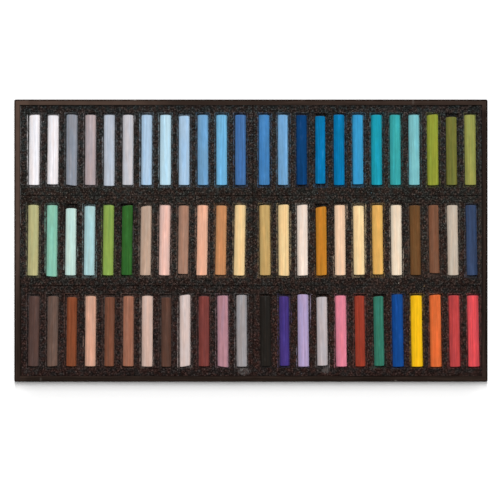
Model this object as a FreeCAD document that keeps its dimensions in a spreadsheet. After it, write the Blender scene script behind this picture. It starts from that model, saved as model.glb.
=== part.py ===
import FreeCAD, Part
import math
import os
import Sketcher
from FreeCAD import Placement, Rotation, Vector

# A shallow wooden tray of round soft pastels, lying in six slotted foam inserts.
# The origin is the centre of the footprint on the table, +X is right, +Y is back and +Z is up.

doc = FreeCAD.newDocument("PastelTray")
sheet = doc.addObject("Spreadsheet::Sheet", "Sizes")

# Driving sizes in millimetres. The counts have no unit.
drivingSizes = {
    "stick_diameter": (10.0, "a full round pastel stick"),
    "stick_length": (65.0, "a full round pastel stick"),
    "stick_seat_gap": (0.2, "under a stick, above the foam backing"),
    "slot_side_clearance": (1.0, "each side of a stick in its slot"),
    "slot_end_clearance": (1.6, "each end of a stick in its slot"),
    "rib_back": (5.28, "foam between two slots in the back row"),
    "rib_middle": (5.32, "foam between two slots in the middle row"),
    "rib_front": (5.43, "foam between two slots in the front row"),
    "insert_side_margin": (4.285, "foam beside the outermost slots of the widest row"),
    "insert_end_margin": (7.3, "foam past the ends of the slots"),
    "insert_clearance": (0.3, "between an insert and a wall"),
    "column_seam": (0.8, "between a left and a right insert"),
    "row_seam": (0.5, "between an insert and the one behind it"),
    "seam_offset": (1.9, "how far right of the middle the long seam lies"),
    "front_left_gap": (0.9, "more room at the left wall, front left insert only"),
    "shift_back_left": (0.9, "slots right of the middle of their insert"),
    "shift_back_right": (0.1, "slots right of the middle of their insert"),
    "shift_middle_left": (0.1, "slots right of the middle of their insert"),
    "shift_middle_right": (0.7, "slots right of the middle of their insert"),
    "shift_front_left": (0.5, "slots right of the middle of their insert"),
    "shift_front_right": (2.0, "slots right of the middle of their insert"),
    "foam_thickness": (9.5, "the slotted foam sheet"),
    "backing_thickness": (4.0, "the plain foam sheet under it"),
    "wall_thickness": (5.0, "all four wooden walls"),
    "rim_rise": (5.5, "the rim above the foam"),
    "corner_chamfer": (0.9, "sanded upright corners of the tray"),
    "rim_chamfer": (0.6, "broken outer edge of the rim"),
    "panel_thickness": (3.0, "the plywood bottom panel"),
    "panel_lift": (2.0, "from the table to the underside of the panel"),
    "panel_play": (0.2, "the groove's height over the panel's thickness"),
    "groove_depth": (2.2, "the groove that holds the panel"),
    "groove_end_play": (0.3, "between the panel's edge and the groove's bottom"),
    "same_place": (0.001, "points closer than this count as one"),
}
counts = {
    "slots_per_insert": (12, "slots side by side in one insert"),
    "inserts_across": (2, "left and right"),
    "inserts_deep": (3, "back, middle and front"),
    "finger_levels": (4, "fingers and notches stacked up one corner"),
}
# Sizes worked out from the driving ones, each as the formula of its cell.
derivedSizes = {
    "slot_width": "stick_diameter + 2 * slot_side_clearance",
    "slot_length": "stick_length + 2 * slot_end_clearance",
    "pitch_back": "slot_width + rib_back",
    "pitch_middle": "slot_width + rib_middle",
    "pitch_front": "slot_width + rib_front",
    "widest_pitch": "max(pitch_back; pitch_middle; pitch_front)",
    "insert_length": "(slots_per_insert - 1) * widest_pitch + slot_width + 2 * insert_side_margin",
    "insert_depth": "slot_length + 2 * insert_end_margin",
    "column_step": "insert_length + column_seam",
    "row_step": "insert_depth + row_seam",
    "inner_length": "inserts_across * column_step - column_seam + 2 * insert_clearance",
    "inner_depth": "inserts_deep * row_step - row_seam + 2 * insert_clearance",
    "tray_length": "inner_length + 2 * wall_thickness",
    "tray_depth": "inner_depth + 2 * wall_thickness",
    "panel_top": "panel_lift + panel_thickness",
    "foam_floor": "panel_top + backing_thickness",
    "foam_top": "foam_floor + foam_thickness",
    "stick_axis": "foam_floor + stick_seat_gap + stick_diameter / 2",
    "wall_height": "foam_top + rim_rise",
    "finger_height": "wall_height / finger_levels",
    "groove_height": "panel_thickness + panel_play",
    "groove_start": "wall_thickness - groove_depth",
    "panel_length": "inner_length + 2 * (groove_depth - groove_end_play)",
    "panel_depth": "inner_depth + 2 * (groove_depth - groove_end_play)",
}

# How the first and the last stick of each insert lean in their slots: how far the back end
# swings to the left, as a share of the room beside the stick.
leanShares = {
    "back_left": (-0.4, 0.06),
    "back_right": (0.06, 0.34),
    "middle_left": (-0.34, -0.62),
    "middle_right": (0.22, 0.62),
    "front_left": (-0.56, 0.16),
    "front_right": (0.34, 0.7),
}
# Sticks that are worn down or cut long: how far the back end and the front end stay short of a
# full stick's, as shares of the room at the slot's end. A share below nothing is a longer stick.
endShares = {
    "back_left": {2: (0.25, 0.4), 5: (0.0, -0.5), 9: (0.55, 0.0)},
    "back_right": {4: (0.55, 0.55), 6: (0.0, 0.4), 11: (1.2, 0.0)},
    "middle_left": {2: (0.0, -0.65), 3: (1.8, 0.0), 4: (0.55, 0.0), 7: (0.55, 0.0), 9: (0.25, 0.8)},
    "middle_right": {4: (1.0, 0.0), 6: (0.4, 0.25), 7: (0.0, 0.5), 10: (0.0, 1.2)},
    "front_left": {3: (0.55, 0.0), 5: (0.55, 0.0), 8: (0.3, -0.7), 9: (-0.7, 0.0), 12: (-0.5, 0.0)},
    "front_right": {3: (-0.7, 0.0), 4: (0.5, 0.3), 8: (-0.7, 0.0), 10: (-0.5, -0.25)},
}
fullStick = (0.0, 0.0)

rowNumber = 0


def addCell(alias, content, note):
    global rowNumber
    rowNumber += 1
    sheet.set(f"A{rowNumber}", alias)
    sheet.set(f"B{rowNumber}", content)
    sheet.set(f"C{rowNumber}", note)
    sheet.setAlias(f"B{rowNumber}", alias)


for alias, (value, note) in {**drivingSizes, **counts}.items():
    addCell(alias, str(value), note)
for alias, formula in derivedSizes.items():
    addCell(alias, f"={formula}", "worked out")
doc.recompute()


def size(alias):
    return float(sheet.get(alias))


# Helpers for bodies, sketches and pockets.


def newBody(label):
    body = doc.addObject("PartDesign::Body", "Body_" + label)
    body.Label = label
    return body


def newSketch(body, name, planeRole, offset=None):
    sketch = body.newObject("Sketcher::SketchObject", name)
    plane = next(f for f in body.Origin.OriginFeatures if f.Role == planeRole)
    sketch.AttachmentSupport = (plane, [""])
    sketch.MapMode = "FlatFace"
    if offset:
        sketch.setExpression(".AttachmentOffset.Base.z", offset)
    return sketch


def addRectangle(sketch, name, left, bottom, width, height):
    """A unit square, pulled to its place and size by formulas of the sheet."""
    unitSide = 1.0
    corners = [Vector(0, 0, 0), Vector(1, 0, 0), Vector(1, 1, 0), Vector(0, 1, 0)]
    first = sketch.GeometryCount
    for k in range(4):
        sketch.addGeometry(Part.LineSegment(corners[k], corners[(k + 1) % 4]), False)
    for k in range(4):
        sketch.addConstraint(Sketcher.Constraint("Coincident", first + k, 2, first + (k + 1) % 4, 1))
    for k, kind in enumerate(("Horizontal", "Vertical", "Horizontal", "Vertical")):
        sketch.addConstraint(Sketcher.Constraint(kind, first + k))
    measures = (
        ("left", "DistanceX", (-1, 1, first, 1), left),
        ("bottom", "DistanceY", (-1, 1, first, 1), bottom),
        ("width", "DistanceX", (first, 1, first, 2), width),
        ("height", "DistanceY", (first + 1, 1, first + 1, 2), height),
    )
    for word, kind, ends, formula in measures:
        index = sketch.addConstraint(Sketcher.Constraint(kind, *ends, unitSide))
        sketch.renameConstraint(index, f"{name}_{word}")
        sketch.setExpression(f"Constraints.{name}_{word}", formula)


def addPad(body, sketch, name, length):
    pad = body.newObject("PartDesign::Pad", name)
    pad.Profile = sketch
    pad.setExpression("Length", length)
    sketch.Visibility = False
    doc.recompute()
    return pad


def addCutThrough(body, sketch, name):
    """A pocket that goes right through, both ways from its sketch."""
    before = body.Shape.Volume
    cut = body.newObject("PartDesign::Pocket", name)
    cut.Profile = sketch
    cut.Type = "ThroughAll"
    cut.Midplane = True
    doc.recompute()
    checkRemoved(body, name, before)
    return cut


def addPocket(body, sketch, name, depth, reverse):
    before = body.Shape.Volume
    pocket = body.newObject("PartDesign::Pocket", name)
    pocket.Profile = sketch
    pocket.Reversed = reverse
    pocket.setExpression("Length", depth)
    doc.recompute()
    checkRemoved(body, name, before)
    return pocket


def checkRemoved(body, name, before):
    if body.Shape.Volume >= before:
        raise RuntimeError(f"{body.Label}: {name} removes nothing")


def addRow(body, feature, axis, length, occurrences):
    """Repeats a feature along one axis of its own sketch."""
    before = body.Shape.Volume
    row = body.newObject("PartDesign::LinearPattern", feature.Name + "Row")
    row.Originals = [feature]
    row.Direction = (feature.Profile[0], [axis])
    row.setExpression("Length", length)
    row.setExpression("Occurrences", occurrences)
    body.Tip = row
    doc.recompute()
    checkRemoved(body, row.Name, before)
    return row


def addChamfer(body, name, base, edges, width):
    before = body.Shape.Volume
    chamfer = body.newObject("PartDesign::Chamfer", name)
    chamfer.Base = (base, edges)
    chamfer.setExpression("Size", width)
    doc.recompute()
    checkRemoved(body, name, before)
    return chamfer


def edgesWhere(shape, test, end):
    """Names of the edges of a wall, as long as end, whose every point passes the test."""
    names = []
    for number, edge in enumerate(shape.Edges, start=1):
        middle = edge.valueAt((edge.FirstParameter + edge.LastParameter) / 2)
        points = [vertex.Point for vertex in edge.Vertexes] + [middle]
        if all(test(point, end) for point in points):
            names.append(f"Edge{number}")
    return names


def same(a, b):
    return abs(a - b) < size("same_place")


def onUpright(point, end):
    return same(point.y, 0) and (same(point.x, 0) or same(point.x, end))


def onOuterRim(point, end):
    cornerStart = end - size("corner_chamfer") - size("same_place")
    beforeInner = point.y < size("wall_thickness") - size("same_place")
    onCorner = point.x > cornerStart and beforeInner
    return same(point.z, size("wall_height")) and (same(point.y, 0) or onCorner)


# The four walls, joined at the corners by fingers that run round the tray like a pinwheel.


def makeWall(label, length, place):
    """One wall in its own frame: along +X, outer face at Y zero, standing on Z zero."""
    body = newBody(label)
    outline = newSketch(body, label + "_outline", "XZ_Plane")
    addRectangle(outline, "board", "0", "0", f"Sizes.{length}", "Sizes.wall_height")
    board = addPad(body, outline, label + "_board", "Sizes.wall_thickness")
    board.Reversed = True

    ends = newSketch(body, label + "_notches", "XZ_Plane")
    notch = ("Sizes.wall_thickness", "Sizes.finger_height")
    addRectangle(ends, "lead", f"Sizes.{length} - Sizes.wall_thickness", "0", *notch)
    addRectangle(ends, "tail", "0", "Sizes.finger_height", *notch)
    doc.recompute()
    notches = addCutThrough(body, ends, label + "_notch")
    lastStep = "2 * (Sizes.finger_levels / 2 - 1) * Sizes.finger_height"
    addRow(body, notches, "V_Axis", lastStep, "Sizes.finger_levels / 2")

    slit = newSketch(body, label + "_slit", "XZ_Plane", "-Sizes.wall_thickness")
    slitLength = f"Sizes.{length} - 2 * Sizes.groove_start"
    addRectangle(slit, "slit", "Sizes.groove_start", "Sizes.panel_lift", slitLength, "Sizes.groove_height")
    addPocket(body, slit, label + "_groove", "Sizes.groove_depth", True)

    # The upright corners are broken first, then the outer edge of the rim all along.
    end = size(length)
    uprights = edgesWhere(body.Shape, onUpright, end)
    corners = addChamfer(body, label + "_corners", body.Tip, uprights, "Sizes.corner_chamfer")
    rim = edgesWhere(body.Shape, onOuterRim, end)
    addChamfer(body, label + "_rim", corners, rim, "Sizes.rim_chamfer")
    body.Placement = place
    return body


right = size("tray_length") / 2
back = size("tray_depth") / 2
up = Vector(0, 0, 1)
walls = [
    makeWall("front_wall", "tray_length", Placement(Vector(-right, -back, 0), Rotation(up, 0))),
    makeWall("right_wall", "tray_depth", Placement(Vector(right, -back, 0), Rotation(up, 90))),
    makeWall("back_wall", "tray_length", Placement(Vector(right, back, 0), Rotation(up, 180))),
    makeWall("left_wall", "tray_depth", Placement(Vector(-right, back, 0), Rotation(up, 270))),
]


def makeSheet(label, length, depth, thickness, place):
    """A plain sheet whose front left lower corner is its own origin."""
    body = newBody(label)
    outline = newSketch(body, label + "_outline", "XY_Plane")
    addRectangle(outline, "sheet", "0", "0", length, depth)
    addPad(body, outline, label + "_pad", thickness)
    body.Placement = place
    return body


# The bottom panel lies on the lower lips of the four grooves.
panelCorner = Vector(-size("panel_length") / 2, -size("panel_depth") / 2, size("panel_lift"))
panel = makeSheet(
    "bottom_panel",
    "Sizes.panel_length",
    "Sizes.panel_depth",
    "Sizes.panel_thickness",
    Placement(panelCorner, Rotation()),
)

# The foam inserts, two across and three deep. Each is a slotted sheet glued to a plain backing.


def makeInsert(where, row, side):
    """Returns the slotted sheet, its backing and where its first slot's middle lies."""
    innerLeft = -size("inner_length") / 2
    isLeft = side == "left"
    seamHalf = size("column_seam") / 2
    gap = size("insert_clearance") + (size("front_left_gap") if where == "front_left" else 0)
    left = innerLeft + gap if isLeft else size("seam_offset") + seamHalf
    # What the seam's place and the front left gap take from, or give to, an insert of the plain length.
    change = "+ Sizes.seam_offset" if isLeft else "- Sizes.seam_offset"
    change += " - Sizes.front_left_gap" if where == "front_left" else ""
    length = f"(Sizes.insert_length {change})"
    depth = "Sizes.insert_depth"
    rowIndex = ("front", "middle", "back").index(row)
    front = -size("inner_depth") / 2 + size("insert_clearance") + rowIndex * size("row_step")

    backingPlace = Placement(Vector(left, front, size("panel_top")), Rotation())
    backing = makeSheet(f"foam_backing_{where}", length, depth, "Sizes.backing_thickness", backingPlace)

    foamPlace = Placement(Vector(left, front, size("foam_floor")), Rotation())
    foam = makeSheet(f"foam_insert_{where}", length, depth, "Sizes.foam_thickness", foamPlace)
    lastSlot = f"(Sizes.slots_per_insert - 1) * Sizes.pitch_{row}"
    slotLeft = f"({length} - {lastSlot} - Sizes.slot_width) / 2 + Sizes.shift_{where}"
    hole = newSketch(foam, f"slot_{where}", "XY_Plane")
    addRectangle(hole, "slot", slotLeft, "Sizes.insert_end_margin", "Sizes.slot_width", "Sizes.slot_length")
    doc.recompute()
    firstSlot = addCutThrough(foam, hole, f"cut_{where}")
    addRow(foam, firstSlot, "H_Axis", lastSlot, "Sizes.slots_per_insert")

    slotCorner = hole.getDatum("slot_left").Value
    slotMiddle = left + slotCorner + size("slot_width") / 2
    return foam, backing, Vector(slotMiddle, front + size("insert_depth") / 2, 0)


# The sticks lie along Y in their slots. A node holds two of them, half an insert apart.


def makeStick(where, number, middle, leanShare, shortShares):
    """One stick: a cylinder that lies along Y and leans a little in its slot."""
    backShare, frontShare = shortShares
    full = size("stick_length")
    stick = doc.addObject("Part::Cylinder", f"stick_{where}_{number:02d}")
    stick.setExpression("Radius", "Sizes.stick_diameter / 2")
    shortBy = f"({backShare} + {frontShare}) * Sizes.slot_end_clearance"
    stick.setExpression("Height", f"Sizes.stick_length - {shortBy}")
    swing = leanShare * size("slot_side_clearance")
    yaw = Rotation(up, math.degrees(math.asin(swing / (full / 2))))
    frontEnd = yaw.multVec(Vector(0, frontShare * size("slot_end_clearance") - full / 2, 0))
    lieDown = Rotation(Vector(1, 0, 0), -90)
    stick.Placement = Placement(middle + frontEnd, yaw.multiply(lieDown))
    return stick


def makePair(where, pairNumber, sticks):
    pair = doc.addObject("Part::Compound", f"pair_{where}_{pairNumber}")
    pair.Label = f"pastels_{where}_{pairNumber}"
    pair.Links = sticks
    return pair


slotCount = int(size("slots_per_insert"))
half = slotCount // 2
inserts = []
pairs = []
for row in ("back", "middle", "front"):
    for side in ("left", "right"):
        where = f"{row}_{side}"
        foam, backing, firstSlot = makeInsert(where, row, side)
        inserts += [foam, backing]
        firstLean, lastLean = leanShares[where]
        sticks = []
        for k in range(slotCount):
            middle = firstSlot + Vector(k * size(f"pitch_{row}"), 0, size("stick_axis"))
            lean = firstLean + (lastLean - firstLean) * k / (slotCount - 1)
            sticks.append(makeStick(where, k + 1, middle, lean, endShares[where].get(k + 1, fullStick)))
        for k in range(half):
            pairs.append(makePair(where, k + 1, [sticks[k], sticks[k + half]]))

# Every object is checked before anything is written.
doc.recompute()
for item in doc.Objects:
    if "Invalid" in item.State or "Error" in item.State:
        raise RuntimeError(f"{item.Name} failed: {item.State}")

nodes = walls + [panel] + inserts + pairs
os.makedirs("parts", exist_ok=True)
for node in nodes:
    if node.Shape.isNull() or not node.Shape.isValid():
        raise RuntimeError(f"{node.Label} has no valid shape")
for node in nodes:
    node.Shape.exportStep(f"parts/{node.Label}.step")

print(len(nodes), "nodes,", sum(len(node.Shape.Solids) for node in nodes), "solids")
print("tray", size("tray_length"), size("tray_depth"), size("wall_height"))
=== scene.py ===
import math

import bmesh
import bpy
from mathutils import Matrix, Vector


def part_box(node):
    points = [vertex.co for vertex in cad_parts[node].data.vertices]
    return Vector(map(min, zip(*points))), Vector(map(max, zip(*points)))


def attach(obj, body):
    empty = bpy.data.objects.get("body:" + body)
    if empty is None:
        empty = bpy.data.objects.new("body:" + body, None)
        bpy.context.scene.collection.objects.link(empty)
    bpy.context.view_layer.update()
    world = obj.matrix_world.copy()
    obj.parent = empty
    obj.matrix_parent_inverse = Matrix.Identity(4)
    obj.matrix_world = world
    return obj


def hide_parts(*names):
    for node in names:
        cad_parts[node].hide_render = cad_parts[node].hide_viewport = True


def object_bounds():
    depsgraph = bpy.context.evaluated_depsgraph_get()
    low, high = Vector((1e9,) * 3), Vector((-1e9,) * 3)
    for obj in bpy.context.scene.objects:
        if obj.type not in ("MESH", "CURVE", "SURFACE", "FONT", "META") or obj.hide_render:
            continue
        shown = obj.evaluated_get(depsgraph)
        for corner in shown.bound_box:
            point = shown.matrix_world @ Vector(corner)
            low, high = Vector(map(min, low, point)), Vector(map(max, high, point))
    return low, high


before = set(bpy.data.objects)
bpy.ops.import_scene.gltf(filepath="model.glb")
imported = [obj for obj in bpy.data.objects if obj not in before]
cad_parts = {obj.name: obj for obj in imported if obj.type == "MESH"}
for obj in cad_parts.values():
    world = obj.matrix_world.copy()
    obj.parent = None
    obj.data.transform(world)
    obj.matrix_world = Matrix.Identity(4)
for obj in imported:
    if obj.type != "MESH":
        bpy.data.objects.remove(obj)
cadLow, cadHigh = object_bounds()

mm = 0.001
samePoint = 0.01 * mm
rows = ("back", "middle", "front")
sides = ("left", "right")
inserts = [f"{row}_{side}" for row in rows for side in sides]
pairsPerInsert = 6  # pair n is the sticks in slots n and n + 6


# Node trees: sums on sockets, and one way to make any node

class Value:
    def __init__(self, tree, socket):
        self.tree, self.socket = tree, socket

    def maths(self, operation, *others):
        return self.tree.node("ShaderNodeMath", {"operation": operation}, [self, *others])

    def __add__(self, other):
        return self.maths("ADD", other)

    def __sub__(self, other):
        return self.maths("SUBTRACT", other)

    def __mul__(self, other):
        return self.maths("MULTIPLY", other)

    def __truediv__(self, other):
        return self.maths("DIVIDE", other)

    def __pow__(self, other):
        return self.maths("POWER", other)

    def __rsub__(self, other):
        return self.tree.node("ShaderNodeMath", {"operation": "SUBTRACT"}, [other, self])

    def __rtruediv__(self, other):
        return self.tree.node("ShaderNodeMath", {"operation": "DIVIDE"}, [other, self])

    def __gt__(self, other):
        return self.maths("GREATER_THAN", other)

    def __lt__(self, other):
        return self.maths("LESS_THAN", other)

    __radd__ = __add__
    __rmul__ = __mul__

    def smooth(self, low, high):  # 0 below low, 1 above high, soft between
        span = {"Value": self, "From Min": low, "From Max": high}
        return self.tree.node("ShaderNodeMapRange", {"interpolation_type": "SMOOTHSTEP"}, span)


class Tree:
    def __init__(self, tree):
        self.tree = tree

    def node(self, kind, settings=None, values=(), output=0):
        made = self.tree.nodes.new(kind)
        for name, setting in (settings or {}).items():
            if name == "stops":
                self.fillRamp(made.color_ramp, setting)
            else:
                setattr(made, name, setting)
        pairs = values.items() if isinstance(values, dict) else enumerate(values)
        for key, value in pairs:
            self.plug(made.inputs[key], value)
        return Value(self, made.outputs[output]) if len(made.outputs) else made

    def plug(self, socket, value):
        if isinstance(value, Value):
            self.tree.links.new(value.socket, socket)
        elif value is not None:
            socket.default_value = value

    def fillRamp(self, ramp, stops):
        while len(ramp.elements) < len(stops):
            ramp.elements.new(1.0)
        for element, (place, colour) in zip(ramp.elements, stops):
            element.position = place
            element.color = (*colour, 1.0)

    def mix(self, factor, a, b, blend="MIX"):  # a and b are colours, as links or as three shares
        settings = {"data_type": "RGBA", "blend_type": blend}
        a, b = (colour if isinstance(colour, Value) else (*colour, 1.0) for colour in (a, b))
        return self.node("ShaderNodeMix", settings, {0: factor, 6: a, 7: b}, output=2)

    def tinted(self, colour, tint):
        return self.mix(1.0, colour, tint, "MULTIPLY")

    def ramp(self, factor, stops):
        return self.node("ShaderNodeValToRGB", {"stops": stops}, {"Fac": factor})

    def scaled(self, vector, scale):
        return self.node("ShaderNodeVectorMath", {"operation": "SCALE"}, {0: vector, "Scale": scale})

    def stretched(self, vector, scale):
        return self.node("ShaderNodeMapping", None, {"Vector": vector, "Scale": scale})

    def noise(self, vector, scale, detail=3.0, roughness=0.5):
        values = {"Vector": vector, "Scale": scale, "Detail": detail, "Roughness": roughness}
        return self.node("ShaderNodeTexNoise", None, values)

    def cells(self, vector, scale):
        return self.node("ShaderNodeTexVoronoi", None, {"Vector": vector, "Scale": scale})

    def split(self, vector):
        made = self.node("ShaderNodeSeparateXYZ", None, [vector]).socket.node
        return [Value(self, made.outputs[k]) for k in range(3)]


class Material(Tree):
    def __init__(self, name):
        self.material = bpy.data.materials.new(name)
        self.material.use_nodes = True
        super().__init__(self.material.node_tree)
        self.tree.nodes.clear()

    def place(self):  # Object coordinates
        return self.node("ShaderNodeTexCoord", output="Object")

    def attribute(self, name, output="Color"):
        return self.node("ShaderNodeAttribute", {"attribute_name": name}, output=output)

    def finish(self, bumps=(), **sockets):  # bumps are (height, strength, distance)
        normal = None
        for height, strength, distance in bumps:
            values = {"Height": height, "Strength": strength, "Distance": distance, "Normal": normal}
            normal = self.node("ShaderNodeBump", None, values)
        values = {name.replace("_", " "): value for name, value in sockets.items()}
        shader = self.node("ShaderNodeBsdfPrincipled", None, values | {"Normal": normal})
        self.node("ShaderNodeOutputMaterial", None, {"Surface": shader})
        return self.material


class Geometry(Tree):
    kinds = {float: "NodeSocketFloat", int: "NodeSocketInt", bool: "NodeSocketBool"}

    def __init__(self, name, inputs, material):
        self.group = bpy.data.node_groups.new(name, "GeometryNodeTree")
        super().__init__(self.group)
        face = self.group.interface
        face.new_socket("Geometry", in_out="INPUT", socket_type="NodeSocketGeometry")
        self.sockets = {}
        for label, start in inputs.items():
            socket = face.new_socket(label, in_out="INPUT", socket_type=self.kinds[type(start)])
            socket.default_value = start
            self.sockets[label] = socket.identifier
        face.new_socket("Geometry", in_out="OUTPUT", socket_type="NodeSocketGeometry")
        self.entry = self.tree.nodes.new("NodeGroupInput")
        self.material = material

    def given(self, label):
        return Value(self, self.entry.outputs[label])

    def named(self, name, kind="FLOAT"):
        return self.node("GeometryNodeInputNamedAttribute", {"data_type": kind}, {"Name": name})

    def store(self, geometry, name, value, kind="FLOAT"):
        values = {"Geometry": geometry, "Name": name, "Value": value}
        return self.node("GeometryNodeStoreNamedAttribute", {"data_type": kind}, values)

    def random(self, seed, low, high):
        made = self.node("FunctionNodeRandomValue", {"data_type": "FLOAT"}, output=1).socket.node
        for name, value in (("Seed", seed), ("Min", low), ("Max", high)):
            self.plug([s for s in made.inputs if s.name == name and s.enabled][0], value)
        return Value(self, [s for s in made.outputs if s.enabled][0])

    def moved(self, geometry, x, y, z):
        place = self.node("ShaderNodeCombineXYZ", None, [x, y, z])
        return self.node("GeometryNodeSetPosition", None, {"Geometry": geometry, "Position": place})

    def close(self, geometry):
        whole = self.node("GeometryNodeRealizeInstances", None, [geometry])
        painting = {"Geometry": whole, "Material": self.material}
        painted = self.node("GeometryNodeSetMaterial", None, painting)
        self.node("NodeGroupOutput", None, [painted])

    def run(self, mesh, name, inputs=None):  # a plain mesh object, with no modifier left on it
        maker = bpy.data.objects.new(name + "_start", mesh)
        bpy.context.collection.objects.link(maker)
        modifier = maker.modifiers.new(self.group.name, "NODES")
        modifier.node_group = self.group
        for label, value in (inputs or {}).items():
            modifier[self.sockets[label]] = value
        depsgraph = bpy.context.evaluated_depsgraph_get()
        made = bpy.data.meshes.new_from_object(maker.evaluated_get(depsgraph))
        bpy.data.objects.remove(maker)
        return newPiece(name, made)


def newPiece(name, mesh):
    piece = bpy.data.objects.new(name, mesh)
    mesh.name = name
    bpy.context.collection.objects.link(piece)
    return piece


def applyModifiers(piece):
    depsgraph = bpy.context.evaluated_depsgraph_get()
    mesh = bpy.data.meshes.new_from_object(piece.evaluated_get(depsgraph))
    piece.modifiers.clear()
    piece.data = mesh
    mesh.name = piece.name


def setAttribute(mesh, name, kind, values):
    field = {"FLOAT": "value", "FLOAT_VECTOR": "vector", "FLOAT_COLOR": "color"}[kind]
    for point, value in zip(mesh.attributes.new(name, kind, "POINT").data, values):
        setattr(point, field, value)


def linear(hexColour):
    shares = [int(hexColour[k:k + 2], 16) / 255 for k in (0, 2, 4)]
    return [s / 12.92 if s <= 0.04045 else ((s + 0.055) / 1.055) ** 2.4 for s in shares]


# Pastels: what the colour maker mixes for each stick, in parts

pigments = {
    "white": "f4f0f2", "black": "25211d", "grey": "98949a", "payne": "6c7482",
    "ultramarine": "124a92", "cobalt": "2a74b8", "cerulean": "027cb2", "azure": "3a9ecd",
    "aqua": "8fd6c0", "prussian": "084074", "indigo": "3a4b6b", "sky": "7cbee6", "turquoise": "1b9fb4",
    "teal": "26a6ac", "ice": "bfdeec", "cream": "f7dba8",
    "viridian": "377c68", "sap": "34692c", "leaf": "90ac53", "olive": "969f39", "moss": "767637",
    "mint": "7cc4aa", "naples": "f0d092", "ochre": "c5832a", "gold": "e7b764", "cadmium": "f4c218",
    "orange": "df6f38", "peach": "ecb08c", "sienna": "894b2f", "brown": "6e442d", "umber": "59433d",
    "rawUmber": "704d2c", "brick": "9f3e2c", "madder": "be4646", "coral": "e2545a", "rose": "e2768e",
    "oxide": "7e403b", "mauve": "b67c8a", "violet": "47367f", "lilac": "b6a5ca",
}
recipes = {
    "back_left": [
        "white 1", "white 20 grey 1", "payne 22 white 6 sky 1", "white 2 grey 7 mauve 1 peach 1",
        "white 8 payne 5 sky 3", "white 9 grey 8 sky 1", "white 11 sky 17 payne 2", "ice 1",
        "white 9 sky 17 payne 2", "sky 16 cobalt 6 payne 6 white 1", "sky 12 cerulean 1 mint 1",
        "cobalt 12 payne 3 grey 1",
    ],
    "back_right": [
        "cobalt 18 sky 5 payne 1", "sky 9 cobalt 4 white 1 payne 1", "prussian 1",
        "cerulean 10 prussian 1", "cerulean 1", "azure 1", "turquoise 1", "teal 20 mint 3",
        "teal 5 white 1 sky 4 aqua 5", "olive 1", "moss 1", "olive 8 moss 1 naples 1 grey 1",
    ],
    "middle_left": [
        "olive 7 naples 6 mint 2 grey 2 white 1", "mint 8 white 1", "white 1 aqua 1",
        "white 4 mint 5 sky 3", "leaf 1", "sap 1", "peach 3 grey 8 naples 3",
        "white 4 peach 7 rose 1 grey 1",
        "sienna 6 grey 3 peach 2 naples 1", "peach 9 white 1", "ochre 6 peach 6 sienna 4 naples 1",
        "naples 12 white 1",
    ],
    "middle_right": [
        "ochre 3 olive 3 naples 3 peach 1 grey 1", "naples 12 white 1", "white 9 naples 4 peach 2 grey 1",
        "ochre 1", "white 5 peach 8 naples 8", "cream 1", "gold 1", "naples 7 white 6 grey 1",
        "rawUmber 1", "brown 9 umber 1 peach 1", "white 2 grey 6 naples 4", "indigo 1",
    ],
    "front_left": [
        "umber 1", "umber 24 grey 2 sienna 2 naples 1", "sienna 1", "peach 7 grey 3",
        "sienna 20 umber 20 ochre 1 peach 1", "sienna 8 peach 2 grey 1",
        "white 5 peach 10 grey 10 naples 2", "umber 5 brown 3 black 1",
        "white 10 grey 8 peach 6 naples 1", "oxide 1", "mauve 12 grey 2 white 1", "grey 18 naples 2 sky 1",
    ],
    "front_right": [
        "black 1", "violet 1", "lilac 1", "white 3 grey 7 peach 1", "rose 9 white 1", "brick 1",
        "viridian 1", "ultramarine 1", "cadmium 1", "orange 1", "madder 1", "coral 1",
    ],
}


def mixed(recipe):
    words = recipe.split()
    parts = [(linear(pigments[name]), float(share)) for name, share in zip(words[::2], words[1::2])]
    total = sum(share for _, share in parts)
    return [sum(colour[c] * share for colour, share in parts) / total for c in range(3)]


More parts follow.
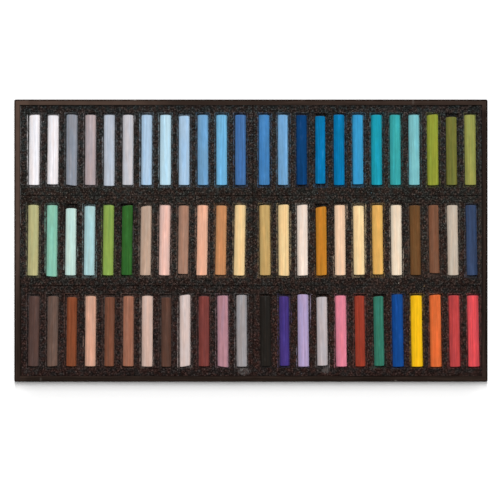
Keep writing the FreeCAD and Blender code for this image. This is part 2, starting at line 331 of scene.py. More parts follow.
def chalk():
    look = {
        "streaks": 0.6, "fineStreaks": 0.34, "mottle": 0.22, "drift": 0.5, "scuffs": 0.35, "tips": 0.3,
        "midLight": 0.72, "contrast": 0.45, "liveliest": 1.9,  # how much more streaks show on dark sticks
        "warm": (1.07, 0.987, 0.94), "cool": (0.94, 1.01, 1.07),
        "paler": 1.3, "dust": (0.8, 0.78, 0.76), "dusting": 0.06,
        "roughness": 0.95, "specular": 0.12, "diffuseRoughness": 0.55,
    }
    m = Material("pressedChalk")
    pigment = m.attribute("pigment")
    grain = m.attribute("stickPlace", "Vector")  # metres in the stick's own frame, along Y
    tip = m.attribute("tipNearness", "Fac")
    streaks = m.noise(m.stretched(grain, (1.0, 0.022, 1.0)), 780, 3.0, 0.6)
    fineStreaks = m.noise(m.stretched(grain, (1.0, 0.05, 1.0)), 2300, 2.0, 0.6)
    mottle = m.noise(m.stretched(grain, (1.0, 0.45, 1.0)), 240, 3.0, 0.55)
    drift = m.noise(m.stretched(grain, (1.0, 0.12, 1.0)), 330, 2.0, 0.5)
    pores = m.noise(grain, 2600, 2.0, 0.6)
    light = m.node("ShaderNodeRGBToBW", None, [pigment])
    lively = ((look["midLight"] / light) ** look["contrast"]).maths("MINIMUM", look["liveliest"])
    tone = (streaks - 0.5) * look["streaks"] + (fineStreaks - 0.5) * look["fineStreaks"]
    tone = 1 + (tone + (mottle - 0.5) * look["mottle"]) * lively
    toned = m.scaled(pigment, tone)
    hue = m.mix(drift.smooth(0.3, 0.7), look["warm"], look["cool"])
    toned = m.mix(lively * look["drift"], toned, m.tinted(toned, hue))
    pale = m.mix(look["dusting"], m.scaled(toned, look["paler"]), look["dust"])
    scuffs = (streaks * 0.5 + mottle * 0.5).smooth(0.56, 0.72) * look["scuffs"]
    # Paler tips: partly worn chalk, partly a painted highlight, stronger at the back ends
    wornAndHighlitTips = tip.smooth(0.05, 0.75) * look["tips"] * (0.6 + mottle)
    coloured = m.mix(scuffs + wornAndHighlitTips, toned, pale)
    return m.finish(
        bumps=[(streaks, 0.4, 0.3 * mm), (pores, 0.4, 0.08 * mm), (mottle, 0.3, 0.4 * mm)],
        Base_Color=coloured, Roughness=look["roughness"], Specular_IOR_Level=look["specular"],
        Diffuse_Roughness=look["diffuseRoughness"],
    )


def looseChalk():
    look = {"grey": (0.42, 0.4, 0.38), "greyness": 0.35, "level": 0.75, "roughness": 0.95, "specular": 0.02}
    m = Material("looseChalk")
    tint = m.mix(look["greyness"], m.attribute("dustTint"), look["grey"])
    return m.finish(
        Base_Color=m.scaled(tint, look["level"]),
        Roughness=look["roughness"], Specular_IOR_Level=look["specular"],
    )


stick = {
    "around": 48,
    "rings": 65,
    "backRounding": 1.25 * mm,
    "backPower": 2.5,
    "frontRounding": 0.75 * mm,
    "frontPower": 2.7,
    "cutSteepness": 12,  # how near its end a slanted cut begins
    "sway": 0.3 * mm,  # how far a stick's line wanders from side to side
    "swayScale": 42,
    "lumps": 0.012,  # share of the radius
    "lumpScale": 130,
    "slotSeed": 0.37,
    "insertSeed": 5.1,
    "inset": 0.01 * mm,  # inside the solid it stands for
}
# Hand-cut ends: slot number, then how far the back and the front end slope to the right
cutEnds = {
    "back_left": {1: (0.06, 0.02), 3: (-0.05, -0.12), 9: (0.05, 0.0)},
    "back_right": {10: (0.10, 0.02), 11: (0.02, 0.0), 6: (-0.04, 0.03)},
    "middle_left": {6: (0.14, 0.0), 7: (0.12, 0.02), 2: (0.0, -0.06), 10: (0.0, 0.04)},
    "middle_right": {3: (0.10, 0.05), 4: (0.15, 0.06), 2: (0.06, -0.06), 10: (0.02, -0.06)},
    "front_left": {9: (0.14, 0.20), 11: (0.02, -0.16), 2: (0.0, 0.10)},
    "front_right": {4: (0.05, 0.03), 7: (0.06, 0.0), 10: (0.06, 0.0), 8: (0.05, 0.02)},
}


# How far an insert's sticks have rolled and slid in their slots, to the right and to the back
settled = {
    "back_left": (0.0, 0.27 * mm), "back_right": (-0.38 * mm, 0.34 * mm),
    "middle_left": (0.0, 0.32 * mm), "middle_right": (0.0, 0.37 * mm),
    "front_left": (0.4 * mm, -0.28 * mm), "front_right": (-0.25 * mm, -0.15 * mm),
}
# Sticks rolled thicker or thinner than most, or cut longer or shorter: share of the plain thickness,
# and extra length in millimetres
rolled = {
    "back_left": {2: (1.03, 0.0), 3: (1.02, 0.5), 8: (1.04, 0.0)},
    "back_right": {
        2: (0.95, 0.0), 3: (0.98, -0.5), 4: (0.94, -0.5), 5: (1.0, 0.3), 10: (1.04, 0.5), 12: (1.03, 0.0),
    },
    "middle_left": {1: (1.0, 0.5), 6: (1.0, -0.5), 9: (0.95, 0.0), 11: (1.0, -0.7), 12: (1.02, 0.4)},
    "middle_right": {2: (1.0, 0.9), 3: (1.0, 0.5), 6: (1.03, 0.0), 9: (0.98, -0.4), 10: (0.94, 0.0)},
    "front_left": {
        3: (0.94, 0.0), 5: (0.92, 0.0), 7: (1.03, 0.5), 8: (0.92, -1.4), 11: (1.02, 1.0), 12: (0.98, 0.7),
    },
    "front_right": {
        2: (0.9, -0.6), 3: (1.02, 0.9), 5: (1.01, 0.8), 6: (0.92, 0.5), 7: (0.94, -0.5), 8: (1.04, 1.1),
        9: (1.06, 1.0), 10: (1.05, 0.6), 11: (1.0, 1.2), 12: (1.05, 1.1),
    },
}


def stickTree(material):
    g = Geometry("roundStick", {
        "Radius": 0.005, "Back Rounding": 0.0012, "Back Power": 2.5, "Front Rounding": 0.0007,
        "Front Power": 2.7, "Sway": 0.0002, "Lumps": 0.01, "Rings": 65, "Around": 48,
    }, material)
    given = g.given
    counts = {"Vertices X": given("Rings"), "Vertices Y": given("Around") + 1}
    sheet = g.node("GeometryNodeMeshGrid", None, {"Size X": 1.0, "Size Y": 1.0} | counts)
    x, y, _ = g.split(g.node("GeometryNodeInputPosition"))
    sheet = g.store(sheet, "along", x * 2)
    sheet = g.store(sheet, "turn", (y + 0.25) * math.tau)
    sites = g.node("GeometryNodeMeshToPoints", None, {"Mesh": given("Geometry")})
    sites = g.store(sites, "centre", g.node("GeometryNodeInputPosition"), "FLOAT_VECTOR")
    tubes = g.node("GeometryNodeInstanceOnPoints", None, {"Points": sites, "Instance": sheet})
    tubes = g.node("GeometryNodeRealizeInstances", None, [tubes])

    half = g.named("stickLength") / 2
    along = (g.named("along") * (math.pi / 2)).maths("SINE")
    seed = g.named("seed")
    y = along * half
    isBack = along > 0
    rounding = given("Front Rounding") + (given("Back Rounding") - given("Front Rounding")) * isBack
    power = given("Front Power") + (given("Back Power") - given("Front Power")) * isBack
    nearness = (1 - (half - y.maths("ABSOLUTE")) / rounding).maths("MAXIMUM", 0.0)
    profile = (1 - nearness ** power).maths("MAXIMUM", 0.0) ** (1 / power)
    turn = g.named("turn")
    cosine, sine = turn.maths("COSINE"), turn.maths("SINE")
    where = g.node("ShaderNodeCombineXYZ", None, [cosine * 0.004 + seed, y * 0.6, sine * 0.004 + seed])
    lump = (g.noise(where, stick["lumpScale"], 2.0) * 2 - 1) * given("Lumps")
    radius = given("Radius") * g.named("girth") * profile * (1 - given("Lumps") + lump)
    line = g.node("ShaderNodeCombineXYZ", None, [seed * 3, y, seed])
    sway = (g.noise(line, stick["swayScale"], 1.0) - 0.5) * given("Sway")
    across, up = radius * cosine, radius * sine
    backCut, frontCut, _ = g.split(g.named("cuts", "FLOAT_VECTOR"))
    backSlope = backCut * along.maths("MAXIMUM", 0.0) ** stick["cutSteepness"]
    frontSlope = frontCut * (along * -1).maths("MAXIMUM", 0.0) ** stick["cutSteepness"]
    y = y + across * (backSlope + frontSlope)
    across = across + sway
    grain = g.node("ShaderNodeCombineXYZ", None, [across + seed, y, up])
    tubes = g.store(tubes, "stickPlace", grain, "FLOAT_VECTOR")
    # Tip nearness, full at the back ends and 0.6 at the front: it carries the tips' wear and a painted
    # highlight that is stronger at the back
    tubes = g.store(tubes, "tipNearness", nearness * (isBack * 0.4 + 0.6))
    lean = g.named("lean")
    cosLean, sinLean = lean.maths("COSINE"), lean.maths("SINE")
    middleX, middleY, middleZ = g.split(g.named("centre", "FLOAT_VECTOR"))
    turnedX, turnedY = across * cosLean - y * sinLean, across * sinLean + y * cosLean
    tubes = g.moved(tubes, middleX + turnedX, middleY + turnedY, middleZ + up)
    closed = g.node("GeometryNodeMergeByDistance", None, {"Geometry": tubes, "Distance": 0.004 * mm})
    smooth = g.node("GeometryNodeSetShadeSmooth", None, {"Geometry": closed, "Shade Smooth": True})
    g.close(smooth)
    return g


def islands(node):  # the separate solids of a node, as lists of points, from left to right
    mesh = bmesh.new()
    mesh.from_mesh(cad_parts[node].data)
    bmesh.ops.remove_doubles(mesh, verts=mesh.verts, dist=samePoint)
    left, found = set(mesh.verts), []
    while left:
        group, edge = set(), [left.pop()]
        while edge:
            vertex = edge.pop()
            group.add(vertex)
            for link in vertex.link_edges:
                other = link.other_vert(vertex)
                if other in left:
                    left.remove(other)
                    edge.append(other)
        found.append([vertex.co.copy() for vertex in group])
    mesh.free()
    return sorted(found, key=lambda points: sum(p.x for p in points) / len(points))


def ends(points):  # the middles of a stick's back and front end
    middleY = sum(p.y for p in points) / len(points)
    back = [p for p in points if p.y > middleY]
    front = [p for p in points if p.y <= middleY]
    return [sum(group, Vector()) / len(group) for group in (back, front)]


def makeSticks(tree, where, number):
    node = f"pastels_{where}_{number}"
    slots = (number, number + pairsPerInsert)
    tips = [ends(points) for points in islands(node)]
    lines = [back - front for back, front in tips]
    low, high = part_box(node)
    radius = (high.z - low.z) / 2 - stick["inset"]
    girths, extras = zip(*[rolled[where].get(slot, (1.0, 0.0)) for slot in slots])
    shifts = [Vector((*settled[where], (girth - 1) * radius)) for girth in girths]
    middles = [(back + front) / 2 + shift for (back, front), shift in zip(tips, shifts)]
    insertSeed = stick["insertSeed"] * inserts.index(where)
    mesh = bpy.data.meshes.new(node)
    mesh.from_pydata(middles, [], [])
    lengths = [line.length - 2 * stick["inset"] + extra * mm for line, extra in zip(lines, extras)]
    pigment = [(*mixed(recipes[where][slot - 1]), 1) for slot in slots]
    setAttribute(mesh, "stickLength", "FLOAT", lengths)
    setAttribute(mesh, "girth", "FLOAT", girths)
    setAttribute(mesh, "lean", "FLOAT", [math.atan2(-line.x, line.y) for line in lines])
    setAttribute(mesh, "seed", "FLOAT", [stick["slotSeed"] * slot + insertSeed for slot in slots])
    setAttribute(mesh, "cuts", "FLOAT_VECTOR", [(*cutEnds[where].get(slot, (0, 0)), 0) for slot in slots])
    setAttribute(mesh, "pigment", "FLOAT_COLOR", pigment)
    inputs = {
        "Radius": radius, "Rings": stick["rings"], "Around": stick["around"],
        "Back Rounding": stick["backRounding"], "Back Power": stick["backPower"],
        "Front Rounding": stick["frontRounding"], "Front Power": stick["frontPower"],
        "Sway": stick["sway"], "Lumps": stick["lumps"],
    }
    piece = tree.run(mesh, f"sticks_{where}_{number}", inputs)
    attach(piece, node)
    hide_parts(node)


# Foam inserts: a slotted sheet on a plain backing

# Soft oval marks, in millimetres: place, half width and half depth, then how strong each is
def marked(m, place, marks):
    x, y, _ = m.split(place)
    total = 0.0
    for middleX, middleY, wide, deep, amount in marks:
        reach = ((x - middleX * mm) / (wide * mm)) ** 2 + ((y - middleY * mm) / (deep * mm)) ** 2
        total = (1 - reach).smooth(0.0, 0.8) * amount + total
    return total


# Grey chalk smudges on the foam; the long ones lie in its seams and in the gaps along the walls, and there
# they are painted light over the shade
smudgesAndGapLight = [
    (-115, 41.65, 125, 0.8, 0.1), (115, 41.65, 125, 0.8, 0.1), (115, -41.65, 125, 0.8, 0.07),
    (0, 124.8, 230, 0.8, 0.16), (-212.9, 65, 1.0, 115, 0.6), (211.5, 0, 1.9, 140, 0.07),
    (-156.6, 24.5, 1.3, 1.9, 0.75), (-6.5, -120.5, 7.0, 4.0, 0.3), (-8.5, -118.0, 2.0, 3.0, 0.35),
    (69.0, -119.5, 4.5, 3.5, 0.35), (-42.3, -45.5, 0.7, 3.0, 0.6), (52.5, 38.5, 3.5, 0.8, 0.35),
    (89.4, 102.8, 0.9, 0.9, 0.8), (123.5, 68.7, 0.8, 1.1, 0.7), (-108.5, 2.0, 0.9, 16.0, 0.25),
]


def foam():
    look = {
        "dark": (0.004, 0.0029, 0.0026), "mid": (0.0185, 0.0142, 0.0122), "pale": (0.092, 0.078, 0.07),
        "fleck": (0.15, 0.138, 0.128), "fleckWidth": 0.19, "flecks": 0.65, "fewerFlecksInFront": 0.35,
        "patchiness": 0.3, "warm": (1.18, 0.96, 0.88), "cool": (0.84, 1.04, 1.06),
        "middlePaintedLight": (1.05, 1.05, 1.05), "backPaintedLight": (1.07, 1.19, 1.3), "frontPaintedShade": (1.0, 0.8, 0.83),
        "greyBetweenSlots": (1.06, 1.07, 1.09), "brownBetweenSlots": (1.26, 1.13, 1.08),
        "smudgeAndGapLightColour": (0.3, 0.28, 0.27), "roughness": 0.95, "specular": 0.02,
    }
    rowPitch = 83.3 * mm
    slotTop, slotFloor = (16.5 * mm, 18.2 * mm), 9.5 * mm
    m = Material("closedCellFoam")
    place = m.place()
    x, y, z = m.split(place)
    forward = 0 - y
    speckle = m.noise(place, 640, 3.0, 0.75)
    patches = m.noise(place, 55, 2.0, 0.5)
    cells = m.cells(place, 1000)
    base = m.ramp(speckle, [(0.35, look["dark"]), (0.53, look["mid"]), (0.7, look["pale"])])
    flecks = (m.cells(place, 520) < look["fleckWidth"]) * m.noise(place, 210, 1.0).smooth(0.48, 0.58)
    flecks = flecks * (look["flecks"] - forward.smooth(0.03, 0.06) * look["fewerFlecksInFront"])
    base = m.mix(flecks, base, look["fleck"])
    base = m.mix((patches - 0.45) * look["patchiness"], base, look["pale"])
    base = m.tinted(base, m.mix(m.noise(place, 230, 1.0).smooth(0.35, 0.65), look["warm"], look["cool"]))
    # Painted light and shade: the back row's foam lighter and cooler, the front row's darker, and the rest
    # lifted a little
    paintedLightByRow = m.mix(y.smooth(0.04, 0.1), look["middlePaintedLight"], look["backPaintedLight"])
    base = m.tinted(base, m.mix(forward.smooth(0.0, 0.09), paintedLightByRow, look["frontPaintedShade"]))
    rowMiddle = (y.maths("ABSOLUTE") / rowPitch + 0.5).maths("FRACT") - 0.5  # 0 along a row's middle
    betweenSlots = 1 - rowMiddle.maths("ABSOLUTE").smooth(0.36, 0.44)
    brownish = forward.smooth(-0.06, 0.03) * (0.2 + x.smooth(-0.01, 0.01) * 0.8)
    slotTint = m.mix(brownish, look["greyBetweenSlots"], look["brownBetweenSlots"])
    base = m.mix(betweenSlots, base, m.tinted(base, slotTint))
    # Chalk dust on the slots' top edges and on their bottoms
    amount = m.attribute("dustAmount", "Fac")
    low, high, _ = m.split(m.attribute("dustSpan", "Vector"))
    within = (y - low).smooth(-1 * mm, 2 * mm) * (high - y).smooth(-1 * mm, 2 * mm)
    crumble = m.noise(m.stretched(place, (1.0, 0.4, 1.0)), 760, 3.0, 0.7)
    reached = z.smooth(*slotTop).maths("MAXIMUM", z < slotFloor)
    broken = 0.35 + m.noise(place, 150, 2.0).smooth(0.35, 0.55) * 0.85
    dusty = within * amount * reached * broken * (crumble + amount * 0.3).smooth(0.45, 0.8)
    coloured = m.mix(dusty, base, m.attribute("dustTint"))
    # Painted light over the shade in the foam's seams and wall gaps, and grey chalk smudges
    smudgeAndGapLightShare = marked(m, place, smudgesAndGapLight) * crumble.smooth(0.35, 0.65)
    coloured = m.mix(smudgeAndGapLightShare, coloured, look["smudgeAndGapLightColour"])
    return m.finish(
        bumps=[(cells, 0.5, 0.4 * mm), (speckle, 0.45, 0.4 * mm)],
        Base_Color=coloured, Roughness=look["roughness"], Specular_IOR_Level=look["specular"],
    )


foamSheet = {
    "edgeRounding": 0.1 * mm,
    "edgeSteps": 2,
    "sharpAngle": 50,  # degrees
    "rimBand": 1.25 * mm,  # how far chalk dust reaches round a slot
    "faintDust": {"left": 0.5, "right": 0.32},  # on slot edges that the table doesn't name
    "faintReach": (-0.01, 1.025),  # shares of the slot from its front
    "edgeTint": 0.7,
    "rubbedSides": 1.2 * mm,  # from a slot's side to the chalk dust that has fallen on the backing
    "rubbedEnds": 0.3 * mm,
    "rubbedDust": {"back": 0.62, "front": 0.46},
    "rubbedReach": (-0.1, 1.1),
    "rubbedTint": 0.5,
    "greyDust": 0.07,
}
# Slots with a dark gap behind a short stick, where no dust has fallen
clearEnds = {"back_right": (4, 11), "middle_left": (3, 6), "middle_right": (4,), "front_right": (1, 4, 7)}
# Chalk rubbed off on slot edges, by slot number: side, amount, and reach as shares of the slot
# from its front
dusted = {
    "back_left": {
        1: [("left", 0.75, 0.02, 0.98)], 2: [("left", 0.45, 0.0, 0.35), ("right", 0.4, 0.5, 0.75)],
        4: [("right", 0.55, 0.0, 0.12)], 5: [("left", 0.6, 0.1, 0.7)],
        6: [("left", 0.5, 0.55, 0.95), ("right", 0.6, 0.86, 1.0)], 7: [("left", 0.7, 0.0, 1.0)],
        9: [("left", 0.4, 0.2, 0.9)],
    },
    "back_right": {
        5: [("left", 0.35, 0.1, 0.8)], 9: [("left", 0.4, 0.0, 0.5)], 12: [("right", 0.3, 0.2, 0.9)],
    },
    "middle_left": {
        1: [("left", 0.6, 0.0, 1.0)], 2: [("left", 0.75, 0.05, 1.0)],
        3: [("left", 0.7, 0.1, 0.75), ("right", 0.65, 0.28, 0.42)], 4: [("right", 0.5, 0.0, 0.55)],
        5: [("left", 0.5, 0.0, 0.95), ("right", 0.35, 0.1, 0.5)], 6: [("right", 0.6, 0.17, 0.24)],
        8: [("left", 0.5, 0.1, 0.9)], 10: [("left", 0.5, 0.1, 0.95)],
    },
    "middle_right": {
        2: [("right", 0.6, 0.1, 0.9)], 3: [("right", 0.4, 0.5, 1.0)],
        5: [("right", 0.7, 0.65, 1.0), ("left", 0.6, 0.0, 0.3)], 6: [("right", 0.75, 0.05, 1.0)],
        8: [("right", 0.6, 0.0, 0.4)], 11: [("left", 0.6, 0.7, 1.0)],
    },
    "front_left": {
        4: [("left", 0.6, 0.2, 0.45)], 7: [("right", 0.6, 0.02, 0.16)], 9: [("left", 0.6, 0.0, 0.9)],
    },
    "front_right": {
        1: [("right", 0.5, 0.6, 0.8), ("left", 0.3, 0.0, 0.95)], 2: [("right", 0.6, 0.6, 0.8)],
        3: [("right", 0.75, 0.55, 1.0), ("left", 0.55, 0.0, 0.3)],
        4: [("left", 0.5, 0.0, 0.4), ("right", 0.6, 0.0, 0.2)], 5: [("right", 0.35, 0.3, 0.9)],
    },
}


def sheetTree(material):
    g = Geometry("slottedSheet", {
        "Left": 0.0, "Right": 0.2, "Front": 0.0, "Back": 0.08, "Bottom": 0.0, "Top": 0.01,
        "First Slot": 0.01, "Pitch": 0.017, "Slot Width": 0.012, "Slot Front": 0.01, "Slot Back": 0.07,
        "Slots": 12, "Band": 0.0009, "Cut": True,
    }, material)
    given = g.given
    # A grid with four columns of points to each slot, at its sides and a band outside them
    perSlot, perColumn = 4, 6
    columns = given("Slots") * perSlot + 2
    grid = g.node("GeometryNodeMeshGrid", None, {"Vertices X": columns, "Vertices Y": perColumn})
    index = g.node("GeometryNodeInputIndex")
    column = (index / perColumn + 0.001).maths("FLOOR")
    row = (index - column * perColumn + 0.5).maths("FLOOR")
    slot = ((column - 1) / perSlot + 0.001).maths("FLOOR")
    step = column - 1 - slot * perSlot
    isFirst, isLast = column < 0.5, column > columns - 1.5
    within = (1 - isFirst) * (1 - isLast)
    x = given("First Slot") + slot * given("Pitch") + given("Slot Width") * (step > 1.5)
    x = x + given("Band") * ((step > 2.5) - (step < 0.5))
    x = x * within + given("Left") * isFirst + given("Right") * isLast
    rowPlaces = [
        given("Front"), given("Slot Front") - given("Band"), given("Slot Front"),
        given("Slot Back"), given("Slot Back") + given("Band"), given("Back"),
    ]
    y = sum(place * (row > k - 0.5) * (row < k + 0.5) for k, place in enumerate(rowPlaces))
    rim = (step > 0.5) * (step < 2.5) * (row > 1.5) * (row < 3.5) * within
    sheet = g.store(grid, "dustAmount", rim)
    sheet = g.store(sheet, "slot", slot)
    sheet = g.store(sheet, "isRight", step > 1.5)
    sheet = g.moved(sheet, x, y, given("Bottom"))
    faceX, faceY, _ = g.split(g.node("GeometryNodeInputPosition"))
    run = faceX - given("First Slot")
    beside = run - (run / given("Pitch")).maths("FLOOR") * given("Pitch")
    inSlot = (run > 0.0) * (run < given("Pitch") * given("Slots")) * (beside < given("Slot Width"))
    inSlot = inSlot * (faceY > given("Slot Front")) * (faceY < given("Slot Back")) * given("Cut")
    cutting = {"Geometry": sheet, "Selection": inSlot}
    sheet = g.node("GeometryNodeDeleteGeometry", {"domain": "FACE"}, cutting)
    upward = g.node("ShaderNodeCombineXYZ", None, [0.0, 0.0, given("Top") - given("Bottom")])
    raising = {"Mesh": sheet, "Offset": upward, "Individual": False}
    raised = g.node("GeometryNodeExtrudeMesh", None, raising)
    under = g.node("GeometryNodeFlipFaces", None, [sheet])
    joined = g.node("GeometryNodeJoinGeometry")
    for part in (raised, under):
        g.tree.links.new(part.socket, joined.socket.node.inputs[0])
    g.close(g.node("GeometryNodeMergeByDistance", None, {"Geometry": joined, "Distance": samePoint}))
    return g


def crumbTree(material):
    g = Geometry("chalkCrumbs", {
        "Per Square Metre": 50000.0, "Seed": 1, "Smallest": 0.0001, "Largest": 0.0005, "Top": 0.0185,
        "Everywhere": 0.12, "In Clusters": 0.6, "By Slots": 0.8,
    }, material)
    given = g.given
    place = g.node("GeometryNodeInputPosition")
    upward = g.split(g.node("GeometryNodeInputNormal"))[2]
    onTop = (g.split(place)[2] > given("Top") - 0.1 * mm) * (upward > 0.9)
    spread = {"Mesh": given("Geometry"), "Selection": onTop, "Density": given("Per Square Metre"),
              "Seed": given("Seed")}
    points = g.node("GeometryNodeDistributePointsOnFaces", {"distribute_method": "RANDOM"}, spread)
    chance = given("Everywhere") + g.noise(place, 70, 2.0).smooth(0.52, 0.7) * given("In Clusters")
    chance = chance + g.named("dustAmount") * given("By Slots")

    def drawn(draw, low=0.0, high=1.0):
        return g.random(given("Seed") + draw, low, high)

    dropping = {"Geometry": points, "Selection": drawn(7) > chance}
    kept = g.node("GeometryNodeDeleteGeometry", {"domain": "POINT"}, dropping)
    crumb = g.node("GeometryNodeMeshIcoSphere", None, {"Radius": 1.0, "Subdivisions": 1})
    size = given("Smallest") + (given("Largest") - given("Smallest")) * drawn(9) ** 3
    turned = g.node("ShaderNodeCombineXYZ", None, [drawn(k, high=math.tau) for k in (1, 2, 3)])
    scale = g.node("ShaderNodeCombineXYZ", None, [size, size * drawn(5, low=0.5), size * 0.7])
    setting = {"Points": kept, "Instance": crumb, "Rotation": turned, "Scale": scale}
    g.close(g.node("GeometryNodeInstanceOnPoints", None, setting))
    return g


def levels(values):  # the distinct values, in order
    found = []
    for value in sorted(values):
        if not found or value - found[-1] > 5 * samePoint:
            found.append(value)
    return found


def makeFoam(tree, crumbs, where):
    node = f"foam_insert_{where}"
    points = [v.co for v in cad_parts[node].data.vertices]
    xs, ys = levels(p.x for p in points), levels(p.y for p in points)
    slots = (len(xs) - 2) // 2
    layout = {
        "Front": ys[0], "Back": ys[-1], "Slot Front": ys[1], "Slot Back": ys[-2], "Slots": slots,
        "Left": xs[0], "Right": xs[-1], "First Slot": xs[1], "Slot Width": xs[2] - xs[1],
        "Pitch": (xs[-3] - xs[1]) / (slots - 1), "Band": foamSheet["rimBand"],
    }
    inward, short = foamSheet["rubbedSides"], foamSheet["rubbedEnds"]
    underSticks = {
        "First Slot": layout["First Slot"] + inward, "Slot Width": layout["Slot Width"] - 2 * inward,
        "Slot Front": layout["Slot Front"] + short, "Slot Back": layout["Slot Back"] - short,
    }
    for kind, cut in (("insert", True), ("backing", False)):
        cad = f"foam_{kind}_{where}"
        low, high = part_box(cad)
        inputs = layout | {"Bottom": low.z, "Top": high.z, "Cut": cut} | ({} if cut else underSticks)
        piece = tree.run(bpy.data.meshes.new(cad), f"foam{kind.capitalize()}_{where}", inputs)
        softenEdges(piece, foamSheet)
        paintDust(piece, where, layout, cut)
        if cut:
            makeCrumbs(crumbs, piece.data, where)
        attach(piece, f"foam_{where}")
        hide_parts(cad)


def makeCrumbs(tree, mesh, where):
    low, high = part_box(f"foam_insert_{where}")
    piece = tree.run(mesh, f"chalkCrumbs_{where}", {"Top": high.z, "Seed": 10 * inserts.index(where) + 3})
    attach(piece, f"foam_{where}")


def softenEdges(piece, sizes):
    bevel = piece.modifiers.new("softEdges", "BEVEL")
    bevel.width, bevel.segments = sizes["edgeRounding"], sizes["edgeSteps"]
    bevel.limit_method, bevel.angle_limit = "ANGLE", math.radians(sizes["sharpAngle"])
    bevel.use_clamp_overlap = True
    bevel.miter_outer = "MITER_ARC"
    bevel.harden_normals = True
    applyModifiers(piece)


def paintDust(piece, where, layout, isCut):
    mesh = piece.data
    front, back = layout["Slot Front"], layout["Slot Back"]
    colours = [mixed(recipe) for recipe in recipes[where]]
    tint = foamSheet["edgeTint" if isCut else "rubbedTint"]
    tints, spans, amounts = [], [], []
    for vertex in range(len(mesh.vertices)):
        slot = min(max(round(mesh.attributes["slot"].data[vertex].value), 0), len(colours) - 1)
        side = "right" if mesh.attributes["isRight"].data[vertex].value > 0.5 else "left"
        end = "back" if mesh.vertices[vertex].co.y > (front + back) / 2 else "front"
        marks = {name: mark for name, *mark in dusted[where].get(slot + 1, [])}
        if isCut:
            amount, low, high = marks.get(side, (foamSheet["faintDust"][side], *foamSheet["faintReach"]))
        else:
            amount, low, high = foamSheet["rubbedDust"][end], *foamSheet["rubbedReach"]
        if end == "back" and slot + 1 in clearEnds.get(where, ()):
            amount = 0.0
        tints.append([tint * c + foamSheet["greyDust"] for c in colours[slot]] + [1.0])
        spans.append((front + (back - front) * low, front + (back - front) * high, 0.0))
        amounts.append(amount * mesh.attributes["dustAmount"].data[vertex].value)
    for name in ("slot", "isRight", "dustAmount"):
        mesh.attributes.remove(mesh.attributes[name])
    setAttribute(mesh, "dustTint", "FLOAT_COLOR", tints)
    setAttribute(mesh, "dustSpan", "FLOAT_VECTOR", spans)
    setAttribute(mesh, "dustAmount", "FLOAT", amounts)


# Wooden tray: four stained walls and a plywood panel

# Spots on the rim where the stain is worn through
nicks = [
    (-106.9, 129.6, 0.6, 0.6, 0.9), (149.4, 127.5, 1.3, 2.8, 0.1), (149.4, 129.7, 0.7, 0.5, 0.6),
    (-193.6, -127.8, 1.2, 2.2, 0.09), (133.3, -129.2, 1.4, 1.2, 0.22),
]
# Painted sheen: where the rim is painted a lighter brown in place of a lamp's sheen, most of all at its
# back left corner
paintedSheen = [
    (-215.5, 130, 12, 190, 0.2), (-215.5, 100, 12, 180, 0.45), (-215.5, 0, 12, 300, 0.1),
    (-190, 127.5, 130, 12, 0.4), (0, 127.5, 400, 12, 0.2), (190, 127.5, 80, 12, 0.06),
    (0, -127.5, 400, 12, 0.06), (-65, -127.5, 75, 12, 0.04), (215.5, 60, 12, 90, 0.05),
    (215.5, 0, 12, 300, 0.02),
]


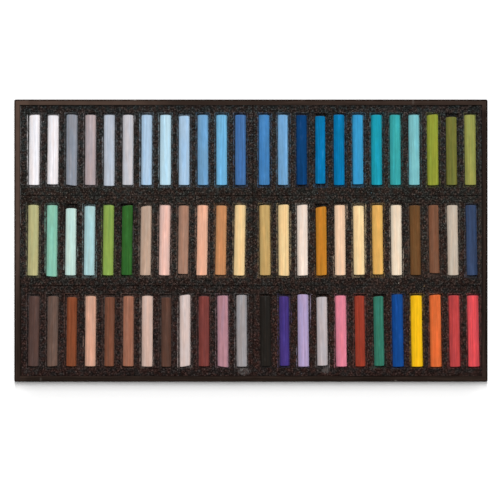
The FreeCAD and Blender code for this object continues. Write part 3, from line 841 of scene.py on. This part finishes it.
def stainedWood(name, along, scale=1.0):
    # Two copies of one stain: the rim's, and face, painted about three times lighter for the walls' sides
    # and undersides to make up for the less light they get (painted light)
    rim = {"dark": (0.0045, 0.003, 0.0024), "mid": (0.0145, 0.0092, 0.0074), "lit": (0.043, 0.0268, 0.0205)}
    face = {"dark": (0.016, 0.0105, 0.0084), "mid": (0.044, 0.029, 0.0225), "lit": (0.1, 0.067, 0.051)}
    look = {
        "endGrain": (0.0096, 0.0063, 0.005), "paintedSheen": (0.105, 0.067, 0.051), "mostSheen": 0.8,
        "nick": (0.32, 0.28, 0.25), "outline": (1.0 * mm, 1.7 * mm), "edgeShadeStrength": 0.74,
        "roughness": 1.0, "rimPolish": 0.45, "specular": 0.06, "sheen": (1.0, 0.72, 0.57, 1.0),
    }

    def drawnOut(share):  # squeezed along the board, so that the pattern runs along it
        return [share if axis == along else 1.0 for axis in "xyz"]

    m = Material(name)
    place = m.place()
    x, y, _ = m.split(place)
    fibres = m.noise(m.stretched(place, drawnOut(0.04)), 1000 * scale, 4.0, 0.6)
    bands = m.noise(m.stretched(place, drawnOut(0.014)), 420 * scale, 2.0, 0.5)
    pores = m.cells(m.stretched(place, drawnOut(0.16)), 700 * scale)
    blotches = m.noise(place, 16, 2.0, 0.5)
    figure = fibres * 0.4 + bands * 0.45 + blotches * 0.15
    normal = m.split(m.node("ShaderNodeTexCoord", output="Normal"))
    onRim = normal[2].smooth(0.4, 0.8)
    # Painted light: sides and undersides take the lighter copy of the stain, the rim the darker one
    shown = [m.ramp(figure, list(zip((0.41, 0.52, 0.64), stain.values()))) for stain in (face, rim)]
    colour = m.mix(onRim, *shown)
    endGrain = normal["xy".index(along)].maths("ABSOLUTE").smooth(0.7, 0.95)
    colour = m.mix(endGrain * 0.85, colour, look["endGrain"])
    uneven = 0.3 + fibres * 0.4 + bands * 0.3 + m.noise(place, 110, 3.0) * 0.7
    # Painted sheen: the rim mixed toward a lighter brown, most at its back left corner, uneven with the
    # grain
    sheenShare = marked(m, place, paintedSheen).maths("MINIMUM", look["mostSheen"]) * uneven * onRim
    colour = m.mix(sheenShare, colour, look["paintedSheen"])
    # Painted shade: a dark band along the rim's outer edge, strongest at the right and weakest at the front
    fromEdge = (cadHigh.x - x.maths("ABSOLUTE")).maths("MINIMUM", cadHigh.y - y.maths("ABSOLUTE"))
    outline = (1 - fromEdge.smooth(*look["outline"])) * m.noise(place, 180, 2.0).smooth(0.2, 0.45) * onRim
    atRight, atFront = x.smooth(0.195, 0.212), (0 - y).smooth(0.11, 0.125)
    outline = outline * (look["edgeShadeStrength"] + atRight * 0.24 - atFront * 0.36)
    colour = m.mix(outline, colour, rim["dark"])
    colour = m.mix(marked(m, place, nicks) * onRim, colour, look["nick"])
    rough = look["roughness"] - (look["rimPolish"] - bands * 0.3) * onRim
    return m.finish(
        bumps=[(fibres, 0.35, 0.25 * mm), (pores, 0.15, 0.2 * mm)], Base_Color=colour, Roughness=rough,
        Specular_IOR_Level=look["specular"], Specular_Tint=look["sheen"],
    )


wall = {"edgeRounding": 0.14 * mm, "edgeSteps": 2, "sharpAngle": 30, "flatAngle": 1}  # angles in degrees


def makeWall(node, material):
    cad = bmesh.new()
    cad.from_mesh(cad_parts[node].data)
    bmesh.ops.remove_doubles(cad, verts=cad.verts, dist=samePoint)
    flat = math.radians(wall["flatAngle"])
    bmesh.ops.dissolve_limit(cad, angle_limit=flat, verts=cad.verts, edges=cad.edges)
    mesh = bpy.data.meshes.new(node)
    cad.to_mesh(mesh)
    cad.free()
    piece = newPiece(f"stained_{node}", mesh)
    mesh.materials.append(material)
    softenEdges(piece, wall)
    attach(piece, "tray")
    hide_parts(node)


def makeTray():
    lengthwise = {"x": stainedWood("stainedWoodAcross", "x"), "y": stainedWood("stainedWoodDeep", "y")}
    for node, along in (("front_wall", "x"), ("back_wall", "x"), ("left_wall", "y"), ("right_wall", "y")):
        makeWall(node, lengthwise[along])
    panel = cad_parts["bottom_panel"]
    panel.data.materials.clear()
    panel.data.materials.append(stainedWood("stainedPlywood", "x", 0.6))


# Floor, light and camera

studio = {
    "floorSize": 5.0,
    "floorWhite": 0.8,
    "overExposed": 1.03,  # as the camera sees it before the front edge
    "burntOut": 1.2,  # and beside and behind the tray, where the photo shows no shadow
    "fade": 0.02,  # metres
    "shadowFade": (0.12, 0.3),  # metres before the front edge, past where the photo ends
    "sky": 0.25,
}


def makeFloor():
    m = Material("paleFloor")
    rays = m.node("ShaderNodeLightPath").socket.node
    seen = [Value(m, rays.outputs[f"Is {kind} Ray"]) for kind in ("Camera", "Glossy", "Transmission")]
    shown = seen[0].maths("MAXIMUM", seen[1]).maths("MAXIMUM", seen[2])
    x, y, _ = m.split(m.place())
    fade = studio["fade"]
    aside = x.maths("ABSOLUTE").smooth(cadHigh.x - fade, cadHigh.x + fade / 4)
    behind = y.smooth(cadLow.y - fade / 4, cadLow.y + fade / 4)
    farAhead = (cadLow.y - y).smooth(*studio["shadowFade"])
    noShadow = aside.maths("MAXIMUM", behind).maths("MAXIMUM", farAhead)
    white, over, burnt = ([studio[name]] * 3 for name in ("floorWhite", "overExposed", "burntOut"))
    bright = m.mix(noShadow, over, burnt)
    diffuse = m.node("ShaderNodeBsdfDiffuse", None, {"Color": m.mix(shown, white, bright)})
    m.node("ShaderNodeOutputMaterial", None, {"Surface": diffuse})
    half = studio["floorSize"] / 2
    corners = [(-half, -half, 0), (half, -half, 0), (half, half, 0), (-half, half, 0)]
    mesh = bpy.data.meshes.new("floor")
    mesh.from_pydata(corners, [], [(0, 1, 2, 3)])
    mesh.materials.append(m.material)
    newPiece("floor", mesh)


lamps = {  # where each stands, how wide and deep it is, in metres, and its power in watts
    "overhead": {"spot": (0.0, 1.0, 9.95), "size": (0.4, 2.0), "power": 475},
    "behind": {"spot": (0.0, 2.9, 9.55), "size": (0.4, 1.9), "power": 170},
    "farBehind": {"spot": (0.0, 4.85, 8.75), "size": (0.4, 2.4), "power": 56},
    "right": {"spot": (7.0, 0.0, 6.0), "size": (1.5, 1.5), "power": 130},
}


def makeLights():
    world = bpy.data.worlds.new("studio")
    world.use_nodes = True
    bpy.context.scene.world = world
    w = Tree(world.node_tree)
    world.node_tree.nodes.clear()
    rays = w.node("ShaderNodeLightPath").socket.node
    strength = Value(w, rays.outputs["Is Camera Ray"]) * (1.0 - studio["sky"]) + studio["sky"]
    sky = w.node("ShaderNodeBackground", None, {"Color": (1, 1, 1, 1), "Strength": strength})
    w.node("ShaderNodeOutputWorld", None, {"Surface": sky})
    for name, lamp in lamps.items():
        light = bpy.data.lights.new(name, "AREA")
        light.shape = "RECTANGLE"
        light.size, light.size_y = lamp["size"]
        light.energy = lamp["power"]
        holder = bpy.data.objects.new(name, light)
        holder.location = lamp["spot"]
        holder.rotation_euler = (-Vector(lamp["spot"])).to_track_quat("-Z", "Y").to_euler()
        bpy.context.collection.objects.link(holder)


def makeCamera():
    frameSide = 500  # pixels, and so are the tray's edges in the frame
    outline = {"left": 14.3, "right": 487.58, "top": 99.5, "bottom": 381.7}
    lens, sensor = 600.0, 36.0  # far off, as the photo shows no walls' sides
    perPixel = (cadHigh.x - cadLow.x) / (outline["right"] - outline["left"])
    camera = bpy.data.objects.new("camera", bpy.data.cameras.new("camera"))
    camera.data.lens, camera.data.sensor_width = lens, sensor
    camera.location.x = (frameSide / 2 - (outline["left"] + outline["right"]) / 2) * perPixel
    camera.location.y = ((outline["top"] + outline["bottom"]) / 2 - frameSide / 2) * perPixel
    camera.location.z = perPixel * frameSide * lens / sensor + cadHigh.z
    bpy.context.collection.objects.link(camera)
    bpy.context.scene.camera = camera


print("tray")
makeTray()
print("foam inserts")
foamTree, crumbs = sheetTree(foam()), crumbTree(looseChalk())
for where in inserts:
    makeFoam(foamTree, crumbs, where)
print("pastels")
pastelTree = stickTree(chalk())
for where in inserts:
    for number in range(1, pairsPerInsert + 1):
        makeSticks(pastelTree, where, number)
print("floor, light and camera")
makeFloor()
makeLights()
makeCamera()
bpy.context.scene.view_settings.view_transform = "Standard"
